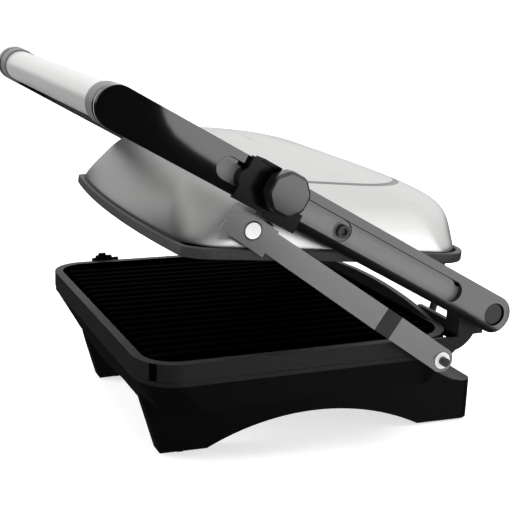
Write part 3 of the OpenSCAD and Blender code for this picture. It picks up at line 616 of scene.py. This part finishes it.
@dataclass
class LowerGrill:
    """The lower plate, its trim ring and the plate release latch."""

    plate_edge: float = 0.0011
    rim: float = 0.0066
    well_under: float = 0.0911
    ring_edge: float = 0.0004
    latch_edge: float = 0.0008

    def build(self) -> None:
        """Makes the pieces with rounded edges."""
        plate = edged("lower_plate", "base", CAST_GREY, self.plate_edge, 3)
        low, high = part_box("lower_plate")
        half, deep = high.x - self.rim, high.y - self.rim
        plate.data.materials.append(PLATE_BLACK.material())
        for face in plate.data.polygons:
            x, y, z = face.center
            if abs(x) < half and abs(y) < deep and z < self.well_under:
                face.material_index = 1
        edged("lower_trim_ring", "base", CAST_GREY, self.ring_edge, 2)
        edged("latch_guide", "base", MOULDED_BLACK, self.latch_edge)
        edged("release_latch", "latch", PHENOLIC, self.latch_edge)

    def dress(self) -> None:
        """Dresses the latch's spring."""
        dress_node("latch_spring", ZINC)


@dataclass
class HingeGroup:
    """The two cast hinge towers, their pins, spacers, bushes and the link's retaining clip."""

    tower_edge: float = 0.0014
    pin_edge: float = 0.0004

    def build(self) -> None:
        """Makes the pieces with rounded edges."""
        for side in ("right", "left"):
            edged("hinge_bracket_" + side, "base", CAST_GREY, self.tower_edge)
        edged("hinge_axles", "base", DARK_STEEL_AND_BEND_SHADE, self.pin_edge)
        edged("hinge_bushes", "base", PHENOLIC, self.pin_edge)
        edged("link_base_pin", "base", DARK_STEEL_AND_BEND_SHADE, self.pin_edge)
        edged("link_spacer", "base", PHENOLIC, self.pin_edge)
        edged("retaining_clip", "base", BRIGHT_CLIP, 0.00015, 1)

    def dress(self) -> None:
        """Dresses the screws."""
        dress_node("bracket_screws", ZINC)


@dataclass
class Lid:
    """The floating lid: a drawn steel shell on a cast trim, with the upper plate under it."""

    level: float = 4.8
    pivot_height: float = 0.0248
    trim_height: float = 0.0078
    depth: float = 0.2475
    half: float = 0.1440
    dome: float = 0.0465
    skin: float = 0.0016
    back_step: float = 0.0055
    front_bow: float = 1.0
    slot_radius: float = 0.0052
    slot_ahead: float = 0.0129
    slot_behind: float = 0.0136
    trim_edge: float = 0.0012
    seam_height: float = 0.62
    seam_depth: float = 0.0007

    def matrix(self) -> Matrix:
        """Returns the lid's own frame, at its pivot and level with its trim."""
        return Matrix.Translation(joint("lid_hinge")["pos_m"]) @ Matrix.Rotation(
            math.radians(-self.level), 4, "X")

    def levels(self) -> list[tuple[float, Outline]]:
        """Returns the shell's outlines, each with its height over the pivot."""
        front, back = -0.495 * self.depth, 0.505 * self.depth
        low = self.trim_height - self.pivot_height
        foot = Outline(self.half, front + 0.0026, back - 0.0026 - self.back_step, 0.0284, 0.0284, self.front_bow)
        rows = [
            (low - 0.0008, Outline(self.half - 0.0014, front + 0.004, back - 0.004 - self.back_step,
                                   0.027, 0.027, self.front_bow)),
            (low + 0.0004, Outline(self.half - 0.0002, front + 0.0028, back - 0.0028 - self.back_step,
                                   0.0282, 0.0282, self.front_bow)),
            (low + 0.0022, foot),
            (-0.004, Outline(self.half - 0.0015, front + 0.0095, back - 0.0083, 0.047, 0.036, 4.0)),
            (0.008, Outline(self.half - 0.0045, front + 0.0175, back - 0.0088, 0.054, 0.042, 6.0)),
            (0.41 * self.dome, Outline(self.half - 0.0075, front + 0.0255, back - 0.0165, 0.056, 0.047, 8.0)),
            (self.seam_height * self.dome, Outline(self.half - 0.019, front + 0.034, back - 0.044, 0.058, 0.054, 8.0)),
            (0.80 * self.dome, Outline(self.half - 0.044, front + 0.050, back - 0.074, 0.052, 0.052, 8.0)),
            (0.91 * self.dome, Outline(self.half - 0.084, front + 0.064, back - 0.100, 0.040, 0.040, 8.0)),
            (self.dome, Outline(self.half - 0.126, front + 0.084, back - 0.133, 0.014, 0.014, 8.0))]
        crease = 6
        mixed = []
        for i, (height, outline) in enumerate(rows):
            if i != crease:
                mixed.append((height, outline))
                continue
            below, above = rows[i - 1], rows[i + 1]
            for t in (0.86, 0.93):
                mixed.append((below[0] + t * (height - below[0]), below[1].between(outline, t)))
            mixed.append((height - self.seam_depth, outline.between(above[1], 0.03)))
            for t in (0.07, 0.12):
                mixed.append((height + t * (above[0] - height), outline.between(above[1], t)))
        return mixed

    def shell(self) -> bpy.types.Object:
        """Makes the drawn shell, smoothed and then opened for the pin's slot.

        Returns:
            The shell.
        """
        place = self.matrix()
        bm = bmesh.new()
        rings = [[place @ Vector((x, y, height)) for x, y in outline.points()]
                 for height, outline in self.levels()]
        loft(bm, rings, (False, True))
        piece = Piece("lid_shell_drawn", "lid", LID_STEEL, ("lid_shell",))
        made = piece.publish(bm, 60.0)
        # The faces along the crease ring take the darker steel: a painted shade line where the dome meets the sides.
        made.data.materials.append(LID_CREASE_SHADE.material())
        level = place.inverted()
        for polygon in made.data.polygons:
            middle = level @ polygon.center
            if abs(middle.z - self.seam_height * self.dome) < 0.00075 and middle.y > -0.04:
                polygon.material_index = 1
        smooth = made.modifiers.new("smooth", "SUBSURF")
        smooth.levels = smooth.render_levels = 2
        wall = made.modifiers.new("wall", "SOLIDIFY")
        wall.thickness = self.skin
        wall.offset = -1.0
        cutter = self._cutter(place)
        cut = made.modifiers.new("slot", "BOOLEAN")
        cut.object = cutter
        cut.operation = "DIFFERENCE"
        cut.solver = "EXACT"
        applied(made)
        bpy.data.objects.remove(cutter)
        for polygon in made.data.polygons:
            polygon.use_smooth = True
        made.data.set_sharp_from_angle(angle=math.radians(40.0))
        return made

    def _cutter(self, place: Matrix) -> bpy.types.Object:
        """Makes the block that cuts the pin's slot and the pivot holes.

        Args:
            place: the lid's own frame.

        Returns:
            The block, which the caller removes.
        """
        low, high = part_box("link_lid_pin")
        pin = place.inverted() @ ((low + high) / 2.0)
        bm = bmesh.new()
        stadium = []
        for y, start in ((pin.y - self.slot_ahead, 90), (pin.y + self.slot_behind, 270)):
            for k in range(17):
                a = math.radians(start + 180.0 * k / 16)
                stadium.append((y + self.slot_radius * math.cos(a), pin.z + self.slot_radius * math.sin(a)))
        loft(bm, [[Vector((x, y, z)) for y, z in stadium] for x in (self.half - 0.02, self.half + 0.02)])
        bmesh.ops.create_cone(bm, cap_ends=True, segments=32, radius1=0.0037, radius2=0.0037, depth=0.34,
                              matrix=Matrix.Rotation(math.radians(90), 4, "Y"))
        bm.transform(place)
        mesh = bpy.data.meshes.new("slot_cutter")
        bm.to_mesh(mesh)
        bm.free()
        made = bpy.data.objects.new("slot_cutter", mesh)
        bpy.context.scene.collection.objects.link(made)
        return made

    def build(self) -> None:
        """Makes the shell, the trim, the plate and the pivots."""
        self.shell()
        edged("lid_trim", "lid", TRIM_GREY, self.trim_edge, 3)
        edged("upper_plate", "lid", PLATE_BLACK, 0.0009, 2)
        edged("lid_pivot_screws", "lid", DARK_STEEL_AND_BEND_SHADE, 0.0006, 3)
        edged("lid_pivot_bushes", "lid", PHENOLIC, 0.0003)
        edged("upper_cable_gland", "lid", PHENOLIC, 0.0005)

    def dress(self) -> None:
        """Dresses what is inside the lid."""
        for node, finish in {"upper_element": SHEATH, "upper_reflector": SHEET, "upper_thermostat": CONTROL,
                             "lid_bracket_right": ZINC, "lid_bracket_left": ZINC,
                             "lid_bracket_screws": ZINC}.items():
            dress_node(node, finish)


@dataclass
class ArmsAndHandle:
    """The two gloss arms and the tube between them."""

    arm_edge: float = 0.0013
    tube_edge: float = 0.0004
    collar_edge: float = 0.0012

    def build(self) -> None:
        """Makes the pieces with rounded edges."""
        edged("arm_right", "arms", GLOSS_BLACK, self.arm_edge, 3)
        edged("arm_left", "arms", GLOSS_BLACK, self.arm_edge, 3)
        edged("handle_tube", "arms", HANDLE_STEEL, self.tube_edge)
        edged("handle_collars", "arms", COLLAR_GREY, self.collar_edge, 3)

    def dress(self) -> None:
        """Dresses the rod and nuts inside the tube."""
        dress_node("handle_rod", ZINC)
        dress_node("handle_nuts", ZINC)


@dataclass
class Link:
    """The joggled levelling link with its nylon lid pin."""

    bar_edge: float = 0.0004
    # Faces of the bar tilted within these limits get the dark steel as painted shade on the joggle.
    shaded_bend_to: float = 0.995
    shaded_bend_area: float = 0.00004
    pin_edge: float = 0.0003

    def build(self) -> None:
        """Makes the pieces with rounded edges."""
        bar = edged("link_bar", "link", LINK_STEEL, self.bar_edge, 2, 20.0)
        # The joggle's tilted faces take the dark steel: painted shade for the dark band the bend shows.
        bar.data.materials.append(DARK_STEEL_AND_BEND_SHADE.material())
        for face in bar.data.polygons:
            if 0.6 < face.normal.x < self.shaded_bend_to and face.area > self.shaded_bend_area:
                face.material_index = 1
        edged("link_lid_pin", "link", NYLON, self.pin_edge)
        edged("link_lid_bush", "link", PHENOLIC, self.pin_edge)

    def dress(self) -> None:
        """The link has no plain nodes."""


@dataclass
class HeightLock:
    """The sliding height lock and its faceted knob."""

    slider_edge: float = 0.0012
    radius: float = 0.0163
    depth: float = 0.0115
    flange_radius: float = 0.011
    corner: float = 0.0024
    rim: float = 0.0024

    def knob(self) -> bpy.types.Object:
        """Makes the knob: an octagon with soft corners on a round flange.

        Returns:
            The knob.
        """
        low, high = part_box("lock_knob")
        centre = Vector(joint("knob_turn")["pos_m"])
        tilt = math.atan2(joint("slider_slide")["axis"][2], -joint("slider_slide")["axis"][1])
        turn = Matrix.Rotation(-tilt, 4, "X") @ Matrix.Rotation(math.radians(90), 4, "Y")
        top = high.x
        bm = bmesh.new()
        bmesh.ops.create_circle(bm, cap_ends=True, segments=8, radius=self.radius,
                                matrix=Matrix.Rotation(math.radians(22.5), 4, "Z"))
        pushed = bmesh.ops.extrude_face_region(bm, geom=list(bm.faces))["geom"]
        moved = [g for g in pushed if isinstance(g, bmesh.types.BMVert)]
        bmesh.ops.translate(bm, verts=moved, vec=(0, 0, self.depth))
        bmesh.ops.recalc_face_normals(bm, faces=bm.faces)
        upright = [e for e in bm.edges if abs(e.verts[0].co.z - e.verts[1].co.z) > self.depth / 2]
        bmesh.ops.bevel(bm, geom=upright, offset=self.corner, offset_type="OFFSET", affect="EDGES", segments=6,
                        profile=0.5, clamp_overlap=True, material=-1)
        rims = [e for e in bm.edges if e.calc_face_angle(0.0) > math.radians(60)]
        bmesh.ops.bevel(bm, geom=rims, offset=self.rim, offset_type="OFFSET", affect="EDGES", segments=5,
                        profile=0.5, clamp_overlap=True, material=-1)
        flange = bmesh.ops.create_cone(bm, cap_ends=True, segments=48, radius1=self.flange_radius,
                                       radius2=self.flange_radius, depth=0.004)["verts"]
        bmesh.ops.translate(bm, verts=flange, vec=(0, 0, -0.0012))
        depth_low = min(v.co.z for v in bm.verts)
        bm.transform(Matrix.Translation((low.x - depth_low, centre.y, centre.z)) @ turn)
        shift = top - max(v.co.x for v in bm.verts)
        log.info("knob stands %.1f mm short of its packed face", shift * 1000.0)
        return Piece("lock_knob_faceted", "knob", KNOB_BLACK, ("lock_knob",)).publish(bm, 30.0)

    def build(self) -> None:
        """Makes the knob and the slider."""
        knob = self.knob()
        weight = knob.modifiers.new("even_shading", "WEIGHTED_NORMAL")
        weight.keep_sharp = True
        edged("lock_slider", "slider", PHENOLIC, self.slider_edge, 3)

    def dress(self) -> None:
        """Dresses the screw in the knob."""
        dress_node("lock_screw", ZINC)


@dataclass
class FeedCable:
    """The heat-proof cable from the base to the lid, in two lengths that meet beside the hinge."""

    radius: float = 0.0032
    around: int = 20
    steps: int = 30
    lead: float = 0.018
    low_reach: float = 0.022
    high_reach: float = 0.030
    gland_out: float = 0.013

    def route(self) -> list[Vector]:
        """Returns the points along the middle of the cable, from the base to the lid."""
        low_box, high_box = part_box("lower_cable_gland"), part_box("upper_cable_gland")
        level = Lid().level
        out = Vector((0.0, math.cos(math.radians(level)), -math.sin(math.radians(level))))
        x = (low_box[0].x + low_box[1].x) / 2.0
        start = Vector((x, low_box[1].y + 0.001, (low_box[0].z + low_box[1].z) / 2.0))
        place = Lid().matrix()
        lid_y = -0.495 * 0.2475 + 0.2475 - 0.009 + 0.0014 + self.gland_out
        end = place @ Vector((x, lid_y, -0.004))
        handles = [start, start + Vector((0, self.low_reach, 0)), end + out * self.high_reach, end]
        curve = []
        for i in range(self.steps + 1):
            t = i / self.steps
            weights = ((1 - t) ** 3, 3 * (1 - t) ** 2 * t, 3 * (1 - t) * t * t, t ** 3)
            curve.append(sum((h * w for h, w in zip(handles, weights)), Vector()))
        return [start - Vector((0, self.lead, 0)), *curve, end - out * self.lead]

    def _tube(self, name: str, route: list[Vector], bodies: tuple[str, str]) -> bpy.types.Object:
        """Makes one length of cable along its curved route between two bodies.

        Args:
            name: the piece's name.
            route: the points along its middle.
            bodies: the bodies at its two ends.

        Returns:
            The piece.
        """
        bm = bmesh.new()
        rings = []
        across = Vector((1.0, 0.0, 0.0))
        for i, middle in enumerate(route):
            ahead = (route[min(i + 1, len(route) - 1)] - route[max(i - 1, 0)]).normalized()
            up = across.cross(ahead).normalized()
            rings.append([middle + self.radius * (across * math.cos(a) + up * math.sin(a))
                          for a in (2.0 * math.pi * k / self.around for k in range(self.around))])
        loft(bm, rings)
        made = Piece(name, bodies[0], RUBBER, ("feed_cable",)).publish(bm, 60.0)
        made.parent = None
        del made["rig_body"]
        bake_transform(made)
        return made

    def build(self) -> None:
        """Makes both lengths."""
        whole = self.route()
        middle = len(whole) // 2
        self._tube("feed_cable_lower", whole[:middle + 1], ("base", "arms"))
        self._tube("feed_cable_upper", whole[middle:], ("arms", "lid"))

    def dress(self) -> None:
        """The cable has no plain nodes."""


# ---------------------------------------------------------------- studio


@dataclass
class Studio:
    """The pale floor, the soft light and the camera."""

    floor_radius: float = 6.0
    floor_tone: float = 0.55
    floor_glow: float = 0.68
    key_power: float = 110.0
    key_size: float = 3.0
    fill_power: float = 45.0
    fill_size: float = 1.0
    card_at: float = 0.7
    card_glow: float = 2.3
    card_shape: tuple[tuple[float, float], ...] = (
        (0.052, 0.25), (0.060, 0.200), (0.064, 0.188), (0.075, 0.172), (0.102, 0.151), (0.127, 0.136),
        (0.183, 0.099), (0.57, -0.119), (0.57, 0.25))
    far_card_glow: float = 0.9
    far_card_shape: tuple[tuple[float, float], ...] = (
        (0.57, 0.25), (0.57, -0.119), (0.9, -0.30), (0.9, 0.25))
    low_card_glow: float = 0.45
    low_card_shape: tuple[tuple[float, float], ...] = (
        (0.22, 0.048), (0.9, -0.326), (0.9, -0.8), (0.22, -0.8))
    camera_at: Point = (0.82297, -0.34751, 0.35531)
    camera_right: Point = (0.3946, 0.9181, 0.0374)
    camera_up: Point = (-0.2418, 0.0644, 0.9682)
    camera_back: Point = (0.8865, -0.3911, 0.2474)
    lens: float = 77.36
    sensor: float = 36.0

    def build(self) -> None:
        """Makes the floor, the lights, the world and the camera."""
        self._floor()
        self._world()
        self._area("overhead", (0.2, 0.5, 2.4), (0.0, 0.0, 0.1), self.key_size, self.key_power)
        self._area("front_fill", (-0.7, -1.6, 0.6), (0.0, 0.0, 0.08), self.fill_size, self.fill_power)
        self._card("softbox", self.card_shape, self.card_glow)
        self._card("far_softbox", self.far_card_shape, self.far_card_glow)
        self._card("low_softbox", self.low_card_shape, self.low_card_glow)
        self._camera()
        bpy.context.scene.view_settings.view_transform = "Standard"

    def _floor(self) -> None:
        """Makes the round floor."""
        bm = bmesh.new()
        bmesh.ops.create_circle(bm, cap_ends=True, segments=96, radius=self.floor_radius)
        bmesh.ops.recalc_face_normals(bm, faces=bm.faces)
        mesh = bpy.data.meshes.new("floor")
        bm.to_mesh(mesh)
        bm.free()
        made = bpy.data.objects.new("floor", mesh)
        bpy.context.scene.collection.objects.link(made)
        made.location.z = -0.0002
        pale = bpy.data.materials.new("pale_floor")
        pale.use_nodes = True
        shader = pale.node_tree.nodes["Principled BSDF"]
        shader.inputs["Base Color"].default_value = (self.floor_tone,) * 3 + (1.0,)
        shader.inputs["Roughness"].default_value = 0.8
        shader.inputs["Specular IOR Level"].default_value = 0.0
        shader.inputs["Emission Color"].default_value = (1.0, 1.0, 1.0, 1.0)
        shader.inputs["Emission Strength"].default_value = self.floor_glow
        made.visible_glossy = False
        mesh.materials.append(pale)

    def _world(self) -> None:
        """Makes a soft surround, bright behind the press and dark in front of it."""
        world = bpy.data.worlds.new("studio")
        bpy.context.scene.world = world
        world.use_nodes = True
        graph = Graph(world.node_tree)
        ray = graph.node("ShaderNodeTexCoord", {}, {}).outputs["Generated"]
        at = graph.node("ShaderNodeSeparateXYZ", {}, {"Vector": ray})
        depth = Signal(graph, at.outputs["Y"]) * 0.5 + 0.5
        level = graph.ramp(depth, [(0.1, 0.03), (0.2, 0.1), (0.3, 0.37), (0.5, 0.62), (0.68, 0.9)])
        height = graph.ramp(Signal(graph, at.outputs["Z"]) * 0.5 + 0.5, [(0.49, 0.03), (0.54, 1.0)])
        around = level * height * 1.1
        seen = graph.node("ShaderNodeLightPath", {}, {}).outputs["Is Camera Ray"]
        strength = graph.node("ShaderNodeMix", {"data_type": "FLOAT"}, {0: seen, 2: around, 3: 1.05})
        back = graph.node("ShaderNodeBackground", {},
                          {"Color": (1.0, 1.0, 1.0, 1.0), "Strength": strength.outputs[0]})
        graph.node("ShaderNodeOutputWorld", {}, {"Surface": back.outputs[0]})

    def _area(self, name: str, at: Point, towards: Point, size: float, power: float) -> None:
        """Makes a soft area light that gloss doesn't show.

        Args:
            name: the light's name.
            at: where it hangs.
            towards: the place it faces.
            size: its side.
            power: its power in watts.
        """
        light = bpy.data.lights.new(name, "AREA")
        light.energy = power
        light.size = size
        made = bpy.data.objects.new(name, light)
        made.location = at
        made.rotation_mode = "QUATERNION"
        made.rotation_quaternion = (Vector(towards) - Vector(at)).to_track_quat("-Z", "Y")
        made.visible_glossy = False
        bpy.context.scene.collection.objects.link(made)

    def _card(self, name: str, shape: tuple[tuple[float, float], ...], strength: float) -> None:
        """Makes a softbox beside the press that only its gloss shows.

        Args:
            name: the softbox's name.
            shape: its corners, as (y, z).
            strength: how bright it is.
        """
        bm = bmesh.new()
        corners = [bm.verts.new((self.card_at, y, z)) for y, z in shape]
        bm.faces.new(corners)
        mesh = bpy.data.meshes.new(name)
        bm.to_mesh(mesh)
        bm.free()
        made = bpy.data.objects.new(name, mesh)
        bpy.context.scene.collection.objects.link(made)
        glow = bpy.data.materials.new(name + "_glow")
        glow.use_nodes = True
        graph = Graph(glow.node_tree)
        light = graph.node("ShaderNodeEmission", {}, {"Color": (1.0, 1.0, 1.0, 1.0), "Strength": strength})
        graph.node("ShaderNodeOutputMaterial", {}, {"Surface": light.outputs[0]})
        mesh.materials.append(glow)
        made.visible_camera = False
        made.visible_diffuse = False
        made.visible_shadow = False
        made.visible_transmission = False

    def _camera(self) -> None:
        """Makes the camera."""
        lens = bpy.data.cameras.new("camera")
        lens.lens = self.lens
        lens.sensor_width = self.sensor
        lens.clip_start = 0.01
        made = bpy.data.objects.new("camera", lens)
        columns = (self.camera_right, self.camera_up, self.camera_back)
        turn = Matrix([[c[i] for c in columns] for i in range(3)]).to_quaternion()
        made.rotation_mode = "QUATERNION"
        made.rotation_quaternion = turn
        made.location = self.camera_at
        bpy.context.scene.collection.objects.link(made)
        bpy.context.scene.camera = made


def main() -> None:
    """Builds every sub-assembly in order and reports it."""
    logging.basicConfig(level=logging.INFO, format="%(message)s")
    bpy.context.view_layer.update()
    Studio().build()
    for group in (Base(), LowerGrill(), HingeGroup(), Lid(), ArmsAndHandle(), Link(), HeightLock(), FeedCable()):
        group.build()
        group.dress()
        log.info("%s is done", type(group).__name__)


if __name__ == "__main__":
    main()
